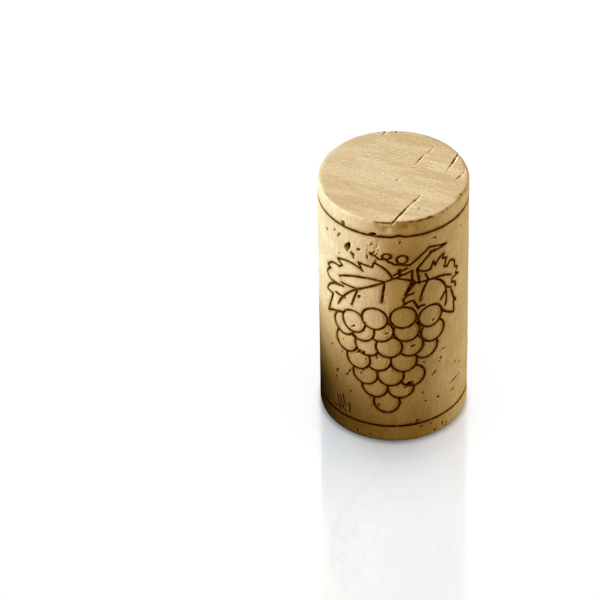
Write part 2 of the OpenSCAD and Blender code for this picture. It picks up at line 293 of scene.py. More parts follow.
def reach_of(places, pieces):
    """Distance from each place to the nearest of the straight pieces. Each piece looks only at
    the places in its own box, with a margin round it, and a place in no box stays FAR."""
    margin = 1.2
    nearest = np.full(len(places), FAR)
    for x0, y0, x1, y1 in pieces:
        along = np.array([x1 - x0, y1 - y0])
        near = np.flatnonzero(
            (np.abs(places[:, 0] - (x0 + x1) / 2) < abs(along[0]) / 2 + margin)
            & (np.abs(places[:, 1] - (y0 + y1) / 2) < abs(along[1]) / 2 + margin)
        )
        offset = places[near] - (x0, y0)
        share = np.clip(offset @ along / (along @ along), 0, 1)[:, None]
        away = np.hypot(*(offset - share * along).T)
        nearest[near] = np.minimum(nearest[near], away)
    return nearest


def round_the_cork(across):
    """The same way round, brought to within half a turn of the front's middle."""
    return (across + GIRTH / 2) % GIRTH - GIRTH / 2


# ---------------------------------------------------------------- the burnt lines
PEN_PIECES = pieces_of(LEFT_LEAF + RIGHT_LEAF + CANE + LEAF_FOLD)
SCRATCH_PIECES = pieces_of(SCRATCHES)


def burn_edge(across, up, points):
    """Distance to the edge of the nearest burnt line, less than 0 inside it. Grapes are
    circles, curls are ovals, and the leaves and the cane are strokes. The rings keep their
    height, apart from the lower one's lean and the upper one's kink. All edges wander a bit."""
    places = np.column_stack([across, up - MARK_Z])
    middle = reach_of(places, PEN_PIECES)
    hidden = np.zeros(len(places), bool)
    for gx, gy in GRAPES:
        away = np.hypot(places[:, 0] - gx, places[:, 1] - gy)
        circle = np.where(hidden, FAR, np.abs(away - GRAPE_R))
        middle = np.minimum(middle, circle)
        hidden |= away < GRAPE_R
    for cx, cy, half_w, half_h in CURLS:
        away = np.hypot((places[:, 0] - cx) / half_w, (places[:, 1] - cy) / half_h)
        middle = np.minimum(middle, np.abs(away - 1) * (half_w + half_h) / 2)
    drawn = middle - LINE_W / 2
    for bx, bz in BLOTS:
        drawn = np.minimum(drawn, np.hypot((across - bx) / BLOT_STRETCH, up - bz) - BLOT_R)
    low_ring = np.abs(up - RING_FROM_FOOT - RING_LEAN * np.sin(across / CORK_R))
    kink_at, kink_width, kink_rise = RING_KINK
    kink = kink_rise * bell(across, kink_at, kink_width)
    high_ring = np.abs(up - CORK_L + RING_FROM_TOP - kink)
    rings = np.minimum(low_ring, high_ring) - RING_W / 2
    wobble = 0.03 * lumps(points, 0.9, 3) + 0.025 * lumps(points, 0.3, 4)
    return np.minimum(drawn, rings) + wobble


def grape_shade(across, up):
    """Faint arcs pressed inside the right side of the grapes, where no other grape covers it:
    two bands about each grape's middle, 1 along the outer one and less along the inner one."""
    x, y = across, up - MARK_Z
    hidden = np.zeros(len(x), bool)
    shade = np.zeros(len(x))
    for gx, gy in GRAPES:
        away = np.hypot(x - gx, y - gy)
        bearing = np.degrees(np.arctan2(y - gy, x - gx))
        part = ease(-70, -35, bearing) * (1 - ease(25, 60, bearing))
        outer = bell(away, 0.74 * GRAPE_R, 0.26)
        inner = 0.6 * bell(away, 0.42 * GRAPE_R, 0.16)
        shade = np.where(hidden, shade, np.maximum(shade, part * np.maximum(outer, inner)))
        hidden |= away < GRAPE_R
    return shade


# ---------------------------------------------------------------- pores and cracks
def far_pores():
    """Small pores over the sides and the back. They are channels that all run one way through
    the bark, so they show long and near level where the side lies along that way, and short
    elsewhere. Each has a random place, width, depth and tilt."""
    rng = np.random.default_rng(24)
    found = []
    for _ in range(FAR_PORES):
        across = rng.uniform(FRONT_ENDS, GIRTH - FRONT_ENDS)
        height = rng.uniform(0.7, CORK_L - 0.7)
        width = rng.choice([0.35, 0.5, 0.75, 1.0], p=[0.4, 0.32, 0.2, 0.08])
        width *= rng.uniform(0.8, 1.2)
        turn = across / CORK_R
        facing = abs(CHANNEL_X * math.sin(turn) - CHANNEL_Y * math.cos(turn))
        length = width / max(facing, 0.3)
        depth = width * rng.uniform(0.35, 0.8)
        tilt = rng.uniform(-15, 30) if facing < 0.6 else rng.uniform(20, 110)
        found.append((across, height, length * 1.2, width, depth, tilt))
    return found


ALL_PORES = FRONT_PORES + BACK_PORES + far_pores()


def pore_sink(across, up, points):
    """How deep each point lies in a pore, and how dark it is there. A pore is an uneven oval
    turned to its tilt. Its floor falls from the rim on an eased curve and slopes down to the end
    that the tilt points to. Its darkness is partly the pore's own brown and partly painted shade:
    it is darkest there and to its right, and a deep pore is darker than a shallow one. On its
    left, or its right where its place round is less than 0, the rim stands up as a thin lip that
    is painted pale as a highlight, for which dark is less than 0."""
    sink = np.zeros(len(across))
    dark = np.zeros(len(across))
    lips = np.zeros(len(across))
    ragged = 1 + 0.25 * lumps(points, 0.35, 11) + 0.15 * lumps(points, 0.15, 12)
    for px, pz, length, width, depth, tilt in ALL_PORES:
        dx = round_the_cork(across - px)
        near = np.flatnonzero((np.abs(dx) < length) & (np.abs(up - pz) < length))
        if not len(near):
            continue
        dx, dz = dx[near], up[near] - pz
        tilt = math.radians(tilt)
        along = (dx * math.cos(tilt) + dz * math.sin(tilt)) / (length / 2)
        beside = (dz * math.cos(tilt) - dx * math.sin(tilt)) / (width / 2)
        oval = np.hypot(along, beside) * ragged[near]
        bowl = 1 - ease(0.65, 1.2, oval)
        sink[near] = np.maximum(sink[near], depth * bowl * np.clip(0.6 + 0.6 * along, 0.12, 1))
        rightward = np.clip(2 * dx / width, -1, 1)
        # painted shade on top of the pore's own brown: darker to the deep end, to the right and
        # with depth
        strength = np.clip(0.62 + 0.3 * along + 0.2 * rightward + 0.6 * depth ** 2, 0.3, 1)
        pore_stain_and_shade = (1 - ease(0.7, 1.3, oval)) * strength
        dark[near] = np.maximum(dark[near], pore_stain_and_shade * ease(-0.05, 0.25, depth))
        # the lip's pale is a painted highlight
        inner_side = np.clip(0.45 - np.sign(px) * dx / width, 0, 1)
        lip = bell(oval, 1.5, 0.25) * inner_side
        lips[near] = np.maximum(lips[near], lip * ease(0.05, 0.3, depth))
    lips = np.where(dark > 0.02, 0, lips)
    return sink - 0.04 * lips, dark - 0.5 * lips


def scratch_sink(across, up):
    """Depth and darkness of the scratches near the foot, each a nick of even depth."""
    away = reach_of(np.column_stack([across, up]), SCRATCH_PIECES)
    nick = 1 - ease(0.05, 0.25, away)
    return 0.1 * nick, 0.8 * nick


def crumbly_sink(across, up, points):
    """Depth and darkness of the loose crumbs in an oval strip: random pits and grains, with a
    pale ripple round it."""
    x, z, half_w, half_h = CRUMBLY
    oval = np.hypot((across - x) / half_w, (up - z) / half_h)
    inside = 1 - ease(0.5, 1.15, oval)
    ripple = bell(oval + 0.2 * lumps(points, 0.8, 23), 0.85, 0.13)
    stretched = points * (1, 1, 0.7)
    grains = lumps(stretched, 0.24, 21) + 0.7 * lumps(stretched, 0.13, 22)
    pits = inside * ease(0.1, 0.7, grains)
    tips = np.maximum(inside * ease(0.1, 0.7, -grains), 0.8 * ripple)
    return 0.05 * inside + 0.13 * pits - 0.05 * tips, 0.5 * pits - 0.42 * tips


def crack_place(places, crack):
    """Distance from each place to the crack's way, less than 0 to the right of the way, and
    the crack's opening at the nearest point of it."""
    nearest = np.full(len(places), FAR)
    signed = np.full(len(places), FAR)
    opening = np.zeros(len(places))
    for (x0, y0, w0), (x1, y1, w1) in zip(crack, crack[1:]):
        along = np.array([x1 - x0, y1 - y0])
        offset = places - (x0, y0)
        share = np.clip(offset @ along / (along @ along), 0, 1)
        gap = offset - share[:, None] * along
        away = np.hypot(*gap.T)
        side = np.sign(along[0] * gap[:, 1] - along[1] * gap[:, 0])
        closer = away < nearest
        nearest = np.where(closer, away, nearest)
        signed = np.where(closer, away * side, signed)
        opening = np.where(closer, w0 + (w1 - w0) * share, opening)
    return signed, opening


def crack_sink(x, y, below, points):
    """Depth and darkness of the dry cracks. A crack falls steeply at its lip on the -X side and
    rises again on a slope to its lip on the +X side. Its darkness is painted shade inside the
    crack, and the +X lip is painted pale as a highlight. Its opening varies along the way, and it
    fades out over the rim."""
    sink = np.zeros(len(x))
    dark = np.zeros(len(x))
    places = np.column_stack([x, y])
    frayed = 1 + 0.45 * lumps(points, 0.45, 35) + 0.25 * lumps(points, 0.2, 36)
    for crack in CRACKS:
        signed, opening = crack_place(places, crack)
        opening = np.maximum(opening * frayed, 0.01)
        # +X is to the left of a way that runs to the front, and to the right of one that runs back
        to_front = crack[0][1] > crack[-1][1]
        across = (signed if to_front else -signed) / (opening + 0.05)
        steep = 1 - ease(0.3, 0.9, -across)
        gentle = 1 - ease(0.2, 2.9, across)
        wall = np.where(across < 0, steep, gentle)
        sink = np.maximum(sink, wall * opening * 1.2)
        # painted shade inside the crack, and a painted highlight on its +X lip
        shade = (1 - ease(0.6, 1.35, np.abs(across + 0.1))) * ease(0.0, 0.1, opening)
        lip = bell(across, 1.9, 0.8) * ease(0.0, 0.07, opening)
        dark = np.where(shade > 0.05, np.maximum(dark, 0.43 * shade), dark - 0.95 * lip)
    fade = 1 - ease(0.2, 0.9, below)
    return sink * fade, dark * fade


def pit_sink(x, y, points):
    """Round open places in the cut of the upper end, and soft stains there."""
    sink = np.zeros(len(x))
    dark = np.zeros(len(x))
    ragged = 1 + 0.25 * lumps(points, 0.3, 31)
    for px, py, width, depth in TOP_PITS:
        oval = np.hypot(x - px, y - py) / (width / 2) * ragged
        bowl = 1 - ease(0.3, 1.2, oval)
        sink = np.maximum(sink, depth * bowl)
        dark = np.maximum(dark, 0.3 * bowl)
    for px, py, radius, strength in STAINS:
        away = np.hypot(x - px, y - py) * ragged
        dark = np.maximum(dark, strength * bell(away, 0, radius))
    return sink, dark


def rounded(radius, inward, below, ways):
    """How far each point sinks along its way to meet a quarter circle of that radius, about a
    line that lies a radius in from the side and a radius below the end."""
    down = np.clip(radius - below, 0, None)
    back = np.clip(radius - inward, 0, None)
    reach = np.maximum(np.hypot(down, back), 1e-6)
    slant = (back * np.hypot(ways[:, 0], ways[:, 1]) + down * ways[:, 2]) / reach
    return np.clip(reach - radius, 0, None) / np.maximum(slant, 0.3)


def rim_sink(turn, inward, below, ways, points):
    """Wear of the upper rim, and how brown it is. The rim is rounded, and rounder at the front.
    The middle of the front is broken off on a steep slope that reaches a ragged way down the side
    and is browned, in crumbs and as painted shade. Faint brown spots and a band of painted shade
    lie along it, with soft dents below that are darkened as painted shade."""
    front = ease(RIM_FROM - 12, RIM_FROM + 8, turn) * (1 - ease(RIM_TO - 8, RIM_TO + 12, turn))
    middle = ease(-26, -13, turn) * (1 - ease(34, 68, turn))
    grains = lumps(points, 0.7, 41) + 0.7 * lumps(points, 0.33, 42)
    bites = ease(-0.15, 0.45, grains)
    radius = RIM_R + front * (RIM_FRONT_R + 0.13 * grains)
    crumbs = 0.16 * grains + 0.07 * lumps(points, 0.2, 44)
    gap = middle * (BREAK_DOWN + 1.3 * crumbs) - BREAK_STEEP * inward - below
    slope = BREAK_STEEP * np.hypot(ways[:, 0], ways[:, 1]) + ways[:, 2]
    broken = np.clip(gap, 0, None) / np.maximum(slope, 0.3)
    sink = np.maximum(rounded(radius, inward, below, ways), broken)

    # the broken slope's brown is partly crumbs and partly painted shade; the band under the front
    # rim is painted shade
    brown = ease(0.02, 0.12, broken) * (0.17 + 0.26 * bites)
    spots = front * bites * (1 - ease(0.2, 1.0, np.maximum(below, inward)))
    rim_shade_band = bell(turn, 10, 32) * (1 - ease(0.1, 0.9, below)) * (1 - ease(0.2, 1.0, inward))
    rim_shade_band = rim_shade_band * (1 + 0.6 * grains)
    brown = np.maximum(np.maximum(brown, 0.12 * spots), 0.25 * rim_shade_band)

    shade = np.zeros(len(turn))
    for place, depth_down, half_turn, half_down, depth in RIM_DENTS:
        soft = bell(turn, place, half_turn) * bell(below, depth_down, half_down)
        sink = sink + depth * soft * ease(0.0, 0.5, below)
        # each dent is also darkened by its depth, as painted shade
        shade = shade + 0.6 * depth * soft
    return sink, np.maximum(brown, shade)


def foot_sink(turn, edge, points):
    """Wear of the foot's rim: rounded all round, and chipped to the right of the front."""
    chipped = 0.35 + 0.65 * bell(turn, 48, 24)
    chips = ease(-0.2, 0.8, lumps(points, 1.0, 45) + 0.6 * lumps(points, 0.4, 46))
    corner = (1 - ease(0.0, 0.95, edge)) ** 1.5
    return corner * (0.22 + 0.3 * chipped * chips)


# ---------------------------------------------------------------- the cork's surface
COLUMNS = 160            # cells round the cork
FOOT_ROWS = 14           # cells from the middle of the foot to its edge, and so on upwards
BEND_ROWS = 2
SIDE_ROWS = 94
TOP_ROWS = 23
FINE = 4                 # a cell near a line, pore or crack is cut into this many each way
POLE_R = 0.35            # radius of the small round face in the middle of each end
FLAT = CORK_R - EDGE_R   # lengths along the outline: an end, an edge's quarter circle, the side
BEND = EDGE_R * math.pi / 2
SIDE = CORK_L - 2 * EDGE_R


def steps(start, end, count):
    """That many evenly spaced places from start towards end, without the end."""
    return np.linspace(start, end, count + 1)[:-1]


def profile_rows():
    """Places of the cells' edges along the cork's outline, from the small round face of the
    foot, over the foot's edge, up the side and over the upper edge to that of the upper end."""
    foot = steps(POLE_R, FLAT, FOOT_ROWS)
    foot_bend = FLAT + steps(0, BEND, BEND_ROWS)
    up_side = FLAT + BEND + steps(0, SIDE, SIDE_ROWS)
    top_bend = FLAT + BEND + SIDE + steps(0, BEND, BEND_ROWS)
    top = FLAT + 2 * BEND + SIDE + np.linspace(0, FLAT - POLE_R, TOP_ROWS + 1)
    return np.concatenate([foot, foot_bend, up_side, top_bend, top])


def outline(along):
    """Radius and height, and the outward way there, at each length along the outline: a flat
    foot, a quarter circle, the straight side, a quarter circle and the flat upper end."""
    a = np.clip((along - FLAT) / EDGE_R, 0, math.pi / 2)
    b = np.clip((along - FLAT - BEND - SIDE) / EDGE_R, 0, math.pi / 2)
    risen = np.clip(along - FLAT - BEND, 0, SIDE)
    back = np.clip(along - FLAT - 2 * BEND - SIDE, 0, FLAT)
    radius = np.minimum(along, FLAT) + EDGE_R * np.sin(a) - EDGE_R * (1 - np.cos(b)) - back
    height = EDGE_R * (1 - np.cos(a)) + risen + EDGE_R * np.sin(b)
    face = a + b
    return radius, height, np.sin(face), -np.cos(face)


def surface_points(turn, along):
    """Points, and outward ways, of the smooth cork at each turn round and length along."""
    radius, height, out, rise = outline(along)
    sin, cos = np.sin(turn), np.cos(turn)
    points = np.column_stack([radius * sin, -radius * cos, height])
    ways = np.column_stack([out * sin, -out * cos, rise])
    return points, ways


def relief(points, ways, turn):
    """How far each point sinks into the cork, with the marks that its finish is made from: the
    distance to a burnt line, how dark its stains and painted shade make it, less than 0 where it
    is pale or a lip is painted as a highlight, and how far it belongs to a cut end."""
    on_side = ease(0.2, 0.75, 1 - np.abs(ways[:, 2]))
    on_top = ease(0.15, 0.6, ways[:, 2])
    on_foot = ease(0.3, 0.9, -ways[:, 2])
    across = round_the_cork(turn * CORK_R)
    degrees = np.degrees(across / CORK_R)
    x, y, up = points.T
    below = CORK_L - up
    inward = CORK_R - np.hypot(x, y)
    near_top = 1 - ease(1.2, 3.0, below)
    cracked = np.clip(on_top + near_top, 0, 1)

    burn = burn_edge(across, up, points)
    burn = np.where(on_side > 0.02, burn, FAR)
    char = 1 - ease(-0.13, 0.1, burn)
    groove = BURN_DEPTH * char * (1 + 0.25 * lumps(points, 0.4, 5))
    arcs = grape_shade(across, up) * (0.7 + 0.5 * lumps(points, 0.8, 6))
    pores, pore_dark = pore_sink(across, up, points)
    scratches, scratch_dark = scratch_sink(across, up)
    crumbs, crumb_dark = crumbly_sink(across, up, points)
    cracks, crack_dark = crack_sink(x, y, below, points)
    pits, pit_dark = pit_sink(x, y, points)
    rim, rim_dark = rim_sink(degrees, inward, below, ways, points)
    worn_foot = foot_sink(degrees, np.maximum(up, inward), points)

    unevenness = 0.035 * (1 + lumps(points * (1, 1, 0.45), 4.5, 1))
    unevenness = unevenness + 0.016 * (1 + lumps(points * (1, 1, 0.6), 1.5, 2))
    side_sink = groove + pores + scratches + crumbs + 0.05 * arcs
    sink = SKIN + unevenness + on_side * side_sink + on_top * pits
    sink = sink + cracks * cracked + rim * near_top + worn_foot
    sink = np.where(on_foot > 0.5, worn_foot + 0.02 * on_foot, sink)

    # the side's holes: pores, then crumbs, then the grapes' arcs, and the scratches over all
    side_dark = on_side * np.where(pore_dark != 0, pore_dark, crumb_dark)
    side_dark = np.where(np.abs(side_dark) < 0.02, on_side * 0.2 * arcs, side_dark)
    scratch_dark = on_side * scratch_dark
    side_dark = np.where(side_dark > 0, np.maximum(side_dark, scratch_dark),
                         side_dark + scratch_dark)
    # the upper end's: cracks, then pits and stains
    end_dark = crack_dark * cracked
    end_dark = np.where(np.abs(end_dark) > 0.02, end_dark, on_top * pit_dark)
    stain_and_shade = np.where(np.abs(side_dark) > np.abs(end_dark), side_dark, end_dark)
    # the rim's brown crumbs and painted shade, and the dents' painted shade
    rim_dark = rim_dark * near_top
    stain_and_shade = np.where(rim_dark > 0.03, np.maximum(stain_and_shade, rim_dark), stain_and_shade)
    end = np.maximum(on_top * ease(0.1, 0.7, inward), on_foot)
    return sink, burn, np.clip(stain_and_shade, -1, 1), end


def detail_cells(turn, along):
    """Which cells hold fine relief: those that a burnt line, a pressed arc, a pore, a crack, a
    pit, a scratch, the crumbs, the crumbled rim or the chipped foot reaches."""
    points, ways = surface_points(turn, along)
    x, y, up = points.T
    across = round_the_cork(turn * CORK_R)
    degrees = np.degrees(across / CORK_R)
    below = CORK_L - up
    inward = CORK_R - np.hypot(x, y)
    side = np.abs(ways[:, 2]) < 0.9
    top = ways[:, 2] > 0.5

    fine = side & ((burn_edge(across, up, points) < 0.3) | (grape_shade(across, up) > 0.3))
    for px, pz, length, width, _, tilt in ALL_PORES:
        cos, sin = abs(math.cos(math.radians(tilt))), abs(math.sin(math.radians(tilt)))
        half_across = (length * cos + width * sin) / 2 + 0.3
        half_up = (length * sin + width * cos) / 2 + 0.3
        near = np.abs(round_the_cork(across - px)) < half_across
        fine |= side & near & (np.abs(up - pz) < half_up)
    crumbs, _ = crumbly_sink(across, up, points)
    fine |= side & (np.abs(crumbs) > 0.01)
    scratches = reach_of(np.column_stack([across, up]), SCRATCH_PIECES)
    fine |= side & (scratches < 0.35)
    for crack in CRACKS:
        ends = np.array([a[:2] + b[:2] for a, b in zip(crack, crack[1:])])
        widest = max(opening for _, _, opening in crack)
        fine |= (top | (below < 1.2)) & (reach_of(points[:, :2], ends) < 0.35 + 1.2 * widest)
    for px, py, width, _ in TOP_PITS:
        fine |= top & (np.hypot(x - px, y - py) < width * 0.5 + 0.25)
    crumbled = (degrees > RIM_FROM - 10) & (degrees < RIM_TO + 10)
    fine |= crumbled & (below < 1.0) & (inward < 1.1)
    chipped = (degrees > -10) & (degrees < 90)
    return fine | (chipped & (up < 0.9) & (inward < 0.8))


def cork_mesh():
    """The closed surface as one grid, columns round by rows along the outline. Cells that hold
    fine relief are cut into FINE by FINE small quads. A plain cell beside one takes the small
    corners on its edge into its own outline, so that the surface stays closed."""
    rows = profile_rows()
    count = len(rows) - 1
    around = np.arange(COLUMNS * FINE) / (COLUMNS * FINE) * 2 * math.pi
    lengths = np.interp(np.arange(count * FINE + 1) / FINE, np.arange(count + 1), rows)

    middle_turn = (np.arange(COLUMNS) + 0.5) / COLUMNS * 2 * math.pi
    middle_row = (rows[:-1] + rows[1:]) / 2
    turn, along = np.meshgrid(middle_turn, middle_row, indexing="ij")
    fine = detail_cells(turn.ravel(), along.ravel()).reshape(COLUMNS, count)
    fine[:, [0, -1]] = False

    small = np.kron(fine, np.ones((FINE, FINE), bool))
    used = np.zeros((COLUMNS * FINE, count * FINE + 1), bool)
    used[:, :-1] |= small
    used[:, 1:] |= small
    used |= np.roll(used, 1, axis=0)
    used[::FINE, ::FINE] = True
    number = np.full(used.shape, -1)
    number[used] = np.arange(used.sum())

    i, j = np.nonzero(small)
    right = (i + 1) % (COLUMNS * FINE)
    quads = np.column_stack([number[i, j], number[right, j], number[right, j + 1],
                             number[i, j + 1]])

    i, j = np.nonzero(~fine)
    step = np.arange(FINE)
    edge_i = np.concatenate([step, np.full(FINE, FINE), FINE - step, np.zeros(FINE, int)])
    edge_j = np.concatenate([np.zeros(FINE, int), step, np.full(FINE, FINE), FINE - step])
    ring_i = (i[:, None] * FINE + edge_i) % (COLUMNS * FINE)
    ring_j = j[:, None] * FINE + edge_j
    ring = number[ring_i, ring_j]
    kept = ring >= 0

    foot_face = number[::FINE, 0][::-1]
    top_face = number[::FINE, -1]
    corners = np.concatenate([quads.ravel(), ring[kept], foot_face, top_face])
    totals = np.concatenate([np.full(len(quads), 4), kept.sum(1), [COLUMNS, COLUMNS]])
    starts = np.concatenate([[0], np.cumsum(totals)[:-1]])

    i, j = np.nonzero(used)
    turn, along = around[i], lengths[j]
    points, ways = surface_points(turn, along)
    sink, burn, stain_and_shade, end = relief(points, ways, turn)
    points = points - ways * sink[:, None]

    mesh = bpy.data.meshes.new("cork_body")
    mesh.vertices.add(len(points))
    mesh.vertices.foreach_set("co", (points * MM).astype(np.float32).ravel())
    mesh.loops.add(len(corners))
    mesh.loops.foreach_set("vertex_index", corners.astype(np.int32))
    mesh.polygons.add(len(totals))
    mesh.polygons.foreach_set("loop_start", starts.astype(np.int32))
    mesh.polygons.foreach_set("loop_total", totals.astype(np.int32))
    mesh.polygons.foreach_set("use_smooth", np.ones(len(totals), bool))
    mesh.update(calc_edges=True)
    mesh.validate()
    for name, values in (("burn", np.clip(burn, -0.5, 2)), ("stain_and_shade", stain_and_shade), ("end", end)):
        layer = mesh.attributes.new(name, "FLOAT", "POINT")
        layer.data.foreach_set("value", values.astype(np.float32))
    return mesh


# ---------------------------------------------------------------- materials
def paint(red, green, blue):
    """A colour as a painter names it, 0 to 255, in the linear values that shaders take."""
    values = np.array([red, green, blue]) / 255
    linear = np.where(values <= 0.04045, values / 12.92, ((values + 0.055) / 1.055) ** 2.4)
    return (*linear.tolist(), 1.0)


SIDE_BROWN, SIDE_PALE = paint(213, 184, 130), paint(224, 197, 144)
SIDE_STREAK = paint(186, 148, 92)
END_BROWN, END_PALE = paint(215, 178, 119), paint(233, 198, 141)
SPECK_DARK, SPECK_PALE = paint(178, 140, 84), paint(246, 222, 176)
FOOT_SHADE_TINT = (0.7, 0.58, 0.33, 1)             # painted shade: how much of a colour stays towards the foot
# The pale of crumbs and of lips painted as highlights, then the gold, brown and black of stains
# and of painted shade in hollows
PALE_AND_LIP_HIGHLIGHT, STAIN_AND_SHADE_GOLD = paint(250, 220, 155), paint(184, 146, 88)
STAIN_AND_SHADE_BROWN, STAIN_AND_SHADE_BLACK = paint(124, 84, 26), paint(34, 15, 1)
SCORCH, CHAR_EDGE = paint(150, 106, 52), paint(150, 102, 40)
CHAR_BLACK, CHAR_BROWN = paint(56, 27, 2), paint(104, 62, 12)
BAND_TURN = math.radians(-17)            # the way that the bands of the ends run


class Nodes:
    """A node tree that is filled one node at a time."""

    def __init__(self, tree):
        self.tree = tree

    def add(self, kind, **settings):
        """A new node of that kind, with its settings."""
        node = self.tree.nodes.new(kind)
        for name, value in settings.items():
            setattr(node, name, value)
        return node

    def join(self, source, target):
        """A link from an output to an input."""
        self.tree.links.new(source, target)

    def math(self, operation, first, second=None):
        """The result of a sum with one or two numbers or outputs."""
        node = self.add("ShaderNodeMath", operation=operation)
        for socket, value in zip(node.inputs, (first, second)):
            if isinstance(value, (int, float)):
                socket.default_value = value
            elif value is not None:
                self.join(value, socket)
        return node.outputs[0]

    def spread(self, value, low_end, high_end, low_out=0.0, high_out=1.0):
        """The value eased from one range to another."""
        node = self.add("ShaderNodeMapRange", interpolation_type="SMOOTHSTEP")
        self.join(value, node.inputs["Value"])
        for name, number in (("From Min", low_end), ("From Max", high_end),
                             ("To Min", low_out), ("To Max", high_out)):
            node.inputs[name].default_value = number
        return node.outputs["Result"]

    def noise(self, vector, scale, detail=2.0, roughness=0.5):
        """Cloudy noise, with scale lumps to the millimetre."""
        node = self.add("ShaderNodeTexNoise")
        self.join(vector, node.inputs["Vector"])
        node.inputs["Scale"].default_value = scale
        node.inputs["Detail"].default_value = detail
        node.inputs["Roughness"].default_value = roughness
        return node.outputs["Fac"]

    def mix(self, share, first, second, blend="MIX"):
        """The first colour with a share of the second in it. A colour's sockets are 6 and 7."""
        node = self.add("ShaderNodeMix", data_type="RGBA", blend_type=blend)
        for socket, value in ((node.inputs[0], share), (node.inputs[6], first),
                              (node.inputs[7], second)):
            if isinstance(value, (int, float, tuple)):
                socket.default_value = value
            else:
                self.join(value, socket)
        return node.outputs[2]

    def mark(self, name):
        """One of the marks that the mesh carries at its points."""
        return self.add("ShaderNodeAttribute", attribute_name=name).outputs["Fac"]

    def shown(self):
        """1 to the rays that show a background: the camera's own, and mirrored or clear ones."""
        path = self.add("ShaderNodeLightPath")
        shown = self.math("MAXIMUM", path.outputs["Is Camera Ray"], path.outputs["Is Glossy Ray"])
        return self.math("MAXIMUM", shown, path.outputs["Is Transmission Ray"])

    def stretched(self, scale, turned=0.0):
        """Object coordinates in millimetres, turned about the cork's axis and then drawn out:
        what is 1 long along an axis becomes as long as scale says."""
        place = self.add("ShaderNodeTexCoord").outputs["Object"]
        node = self.add("ShaderNodeMapping", vector_type="TEXTURE")
        node.inputs["Scale"].default_value = [s * MM for s in scale]
        node.inputs["Rotation"].default_value = (0, 0, turned)
        self.join(place, node.inputs["Vector"])
        return node.outputs["Vector"]


def cork_material():
    """Bark: two tones for the sanded side and the cut ends, mottled and speckled, and darkened and
    warmed towards the foot as painted shade, less so on the right. A mark goes from pale, where a
    lip is painted as a highlight, through gold and brown, for stains and for painted shade in
    hollows, to black. A burnt line is charred, in two browns, with a warm edge and a faint scorch
    round it. The bump holds the grain, and the saw's marks on the ends."""
    material = bpy.data.materials.new("natural_cork")
    material.use_nodes = True
    material.node_tree.nodes.clear()
    n = Nodes(material.node_tree)
    shader = n.add("ShaderNodeBsdfPrincipled")
    output = n.add("ShaderNodeOutputMaterial")
    n.join(shader.outputs[0], output.inputs[0])

    plain = n.stretched((1, 1, 1))
    upright = n.stretched((1, 1, 8))
    bands = n.stretched((7, 1.6, 1), BAND_TURN)
    cut_marks = n.stretched((1.5, 0.45, 1), BAND_TURN)
    end = n.mark("end")
    stain_and_shade = n.mark("stain_and_shade")
    burn = n.mark("burn")

    side_tone = n.mix(n.spread(n.noise(plain, 0.28, 3), 0.35, 0.68), SIDE_BROWN, SIDE_PALE)
    streaks = n.spread(n.noise(upright, 2.2, 3), 0.35, 0.65)
    side_tone = n.mix(n.math("MULTIPLY", streaks, 0.2), side_tone, SIDE_STREAK)
    end_tone = n.mix(n.spread(n.noise(bands, 0.7, 5, 0.62), 0.36, 0.64), END_BROWN, END_PALE)
    tone = n.mix(end, side_tone, end_tone)
    speckle = n.noise(plain, 2.2, 4, 0.75)
    tone = n.mix(n.spread(speckle, 0.5, 0.7, 0, 0.42), tone, SPECK_DARK)
    tone = n.mix(n.spread(speckle, 0.48, 0.28, 0, 0.35), tone, SPECK_PALE)

    # Painted shade: the tone is darker and warmer towards the foot, less so on the right.
    place = n.add("ShaderNodeSeparateXYZ")
    n.join(plain, place.inputs[0])
    near_foot = n.spread(place.outputs["Z"], 0.0, 11.0, 1.0, 0.0)
    less_right = n.spread(place.outputs["X"], 5.0, 12.0, 1.0, 0.3)
    tone = n.mix(n.math("MULTIPLY", near_foot, less_right), tone, FOOT_SHADE_TINT, "MULTIPLY")

    # Pale lips are painted highlights. Gold, brown and, further down, black are stains and painted
    # shade in pores, cracks, dents and along the rim.
    tone = n.mix(n.spread(stain_and_shade, -0.1, -0.6, 0, 0.85), tone, PALE_AND_LIP_HIGHLIGHT)
    tone = n.mix(n.spread(stain_and_shade, 0.02, 0.26), tone, STAIN_AND_SHADE_GOLD)
    tone = n.mix(n.spread(stain_and_shade, 0.15, 0.45), tone, STAIN_AND_SHADE_BROWN)

    haze = n.spread(n.noise(plain, 0.7, 3, 0.6), 0.35, 0.65, 0.1, 0.6)
    tone = n.mix(n.math("MULTIPLY", n.spread(burn, 0.7, 0.0), haze), tone, SCORCH)
    tone = n.mix(n.spread(burn, 0.16, 0.03), tone, CHAR_EDGE)
    charred = n.mix(n.spread(n.noise(plain, 1.6, 2), 0.42, 0.7), CHAR_BLACK, CHAR_BROWN)
    tone = n.mix(n.spread(burn, 0.08, -0.02), tone, charred)
    # the darkest marks, deep pores and scratches, go to black, partly as painted shade
    tone = n.mix(n.spread(stain_and_shade, 0.45, 0.95), tone, STAIN_AND_SHADE_BLACK)
    n.join(tone, shader.inputs["Base Color"])

    shader.inputs["Specular IOR Level"].default_value = 0.0
    n.join(n.spread(speckle, 0.3, 0.7, 0.62, 0.78), shader.inputs["Roughness"])

    height = n.math("ADD", n.math("MULTIPLY", n.noise(plain, 3.0, 5, 0.65), 0.6),
                    n.math("MULTIPLY", n.noise(upright, 2.5, 2), 0.4))
    saw = n.math("MULTIPLY", n.noise(cut_marks, 1.0, 4, 0.6), n.math("MULTIPLY", end, 0.9))
    bump = n.add("ShaderNodeBump")
    bump.inputs["Strength"].default_value = 0.7
    bump.inputs["Distance"].default_value = 0.15 * MM
    n.join(n.math("ADD", height, saw), bump.inputs["Height"])
    n.join(bump.outputs[0], shader.inputs["Normal"])
    return material


